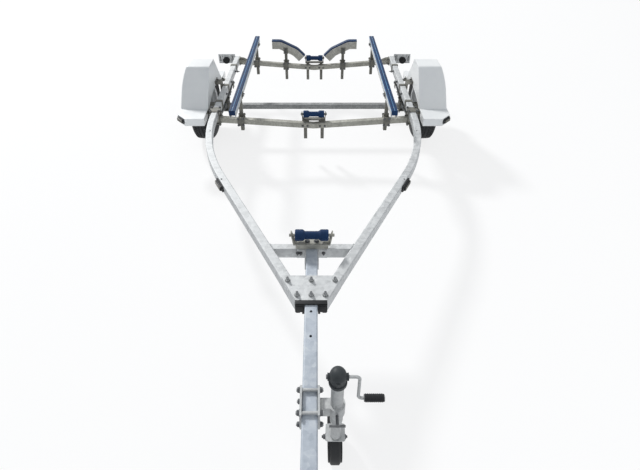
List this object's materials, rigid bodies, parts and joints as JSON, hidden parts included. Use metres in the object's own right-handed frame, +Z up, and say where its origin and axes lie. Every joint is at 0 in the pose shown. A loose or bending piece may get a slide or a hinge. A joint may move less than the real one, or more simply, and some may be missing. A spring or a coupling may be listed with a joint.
{
  "type": "boat trailer",
  "caption": "Single-axle boat trailer with bent box rails, drawbar, skids, keel rollers, white mudguards, jockey wheel and winch post.",
  "frame": {"origin": "middle of the bounding box, on the ground", "axes": "+X to the right seen from the front, +Y from the coupling to the tail, +Z up"},
  "size_m": [2.2394, 4.7, 1.092],
  "materials": {
    "galvanised": "hot-dip galvanised steel, mottled",
    "spring_steel": "galvanised spring steel, dull",
    "zinc_bright": "bright zinc-plated steel",
    "guard_white": "moulded white plastic",
    "skid_blue": "dark blue polyethylene",
    "roller_blue": "dark blue polyurethane",
    "black_plastic": "black plastic",
    "lamp_lens": "lamp in black housing with coloured lens",
    "tyre": "road tyre rubber",
    "rubber": "solid rubber",
    "rim": "galvanised steel wheel"
  },
  "bodies": {
    "root": {"drawbar": "galvanised", "junction_plates": "galvanised", "rail_right": "galvanised", "rail_left": "galvanised", "front_channel": "galvanised", "cross_member_front": "galvanised", "cross_member_rear": "galvanised", "axle_beam": "galvanised", "leaf_springs": "spring_steel", "spring_hangers": "galvanised", "axle_clamps": "galvanised", "frame_clamps": "galvanised", "guard_right": "guard_white", "guard_left": "guard_white", "guard_brackets": "galvanised", "guard_lamps": "lamp_lens", "side_marker_lamps": "lamp_lens", "tail_lamp_plates": "galvanised", "tail_lamps": "lamp_lens", "skid_channels": "galvanised", "skid_strips": "skid_blue", "skid_posts": "galvanised", "centring_strips": "skid_blue", "centring_arms": "galvanised", "centring_posts": "galvanised", "post_clamps": "galvanised", "roller_bracket_front": "galvanised", "roller_bracket_middle": "galvanised", "roller_bracket_rear": "galvanised", "jockey_clamp": "zinc_bright", "jockey_outer_tube": "zinc_bright", "jockey_head": "black_plastic", "coupling_body": "zinc_bright", "winch_post": "galvanised", "bow_stop": "rubber", "winch_frame": "zinc_bright"},
    "bow_roller": {"keel_roller_front": "roller_blue"},
    "middle_roller": {"keel_roller_middle": "roller_blue"},
    "rear_roller": {"keel_roller_rear": "roller_blue"},
    "road_wheel_right": {"tyre_right": "tyre", "rim_right": "rim", "hub_right": "galvanised"},
    "road_wheel_left": {"tyre_left": "tyre", "rim_left": "rim", "hub_left": "galvanised"},
    "jockey_leg": {"jockey_inner_tube": "zinc_bright"},
    "jockey_castor": {"jockey_fork": "zinc_bright"},
    "jockey_road_wheel": {"jockey_wheel": "rubber"},
    "jockey_crank": {"jockey_crank": "zinc_bright"},
    "coupling_lever": {"coupling_lever": "zinc_bright"},
    "winch_drum": {"winch_drum": "zinc_bright", "winch_handle": "zinc_bright"}
  },
  "joints": [
    {"name": "road_wheel_right_spin", "type": "hinge", "parent": "root", "child": "road_wheel_right", "pos_m": [0.988, 1.395, 0.298], "axis": [1, 0, 0], "continuous": true},
    {"name": "road_wheel_left_spin", "type": "hinge", "parent": "root", "child": "road_wheel_left", "pos_m": [-0.988, 1.395, 0.298], "axis": [1, 0, 0], "continuous": true},
    {"name": "bow_roller_spin", "type": "hinge", "parent": "root", "child": "bow_roller", "pos_m": [0, -0.5325, 0.545], "axis": [1, 0, 0], "continuous": true},
    {"name": "middle_roller_spin", "type": "hinge", "parent": "root", "child": "middle_roller", "pos_m": [0, 1.0365, 0.407], "axis": [1, 0, 0], "continuous": true},
    {"name": "rear_roller_spin", "type": "hinge", "parent": "root", "child": "rear_roller", "pos_m": [0, 2.218, 0.437], "axis": [1, 0, 0], "continuous": true},
    {"name": "jockey_leg_slide", "type": "slide", "parent": "root", "child": "jockey_leg", "axis": [0, 0, 1], "range_m": [-0.06, 0.11]},
    {"name": "jockey_castor_swivel", "type": "hinge", "parent": "jockey_leg", "child": "jockey_castor", "pos_m": [0.102, -1.336, 0.23], "axis": [0, 0, 1], "continuous": true},
    {"name": "jockey_wheel_spin", "type": "hinge", "parent": "jockey_castor", "child": "jockey_road_wheel", "pos_m": [0.102, -1.291, 0.1], "axis": [1, 0, 0], "continuous": true},
    {"name": "jockey_crank_turn", "type": "hinge", "parent": "root", "child": "jockey_crank", "pos_m": [0.102, -1.336, 0.636], "axis": [1, 0, 0], "continuous": true},
    {"name": "coupling_lever_lift", "type": "hinge", "parent": "root", "child": "coupling_lever", "pos_m": [0, -2.262, 0.5], "axis": [1, 0, 0], "range_deg": [0, 50]},
    {"name": "winch_drum_turn", "type": "hinge", "parent": "root", "child": "winch_drum", "pos_m": [0, -1.92, 1.052], "axis": [1, 0, 0], "continuous": true}
  ]
}
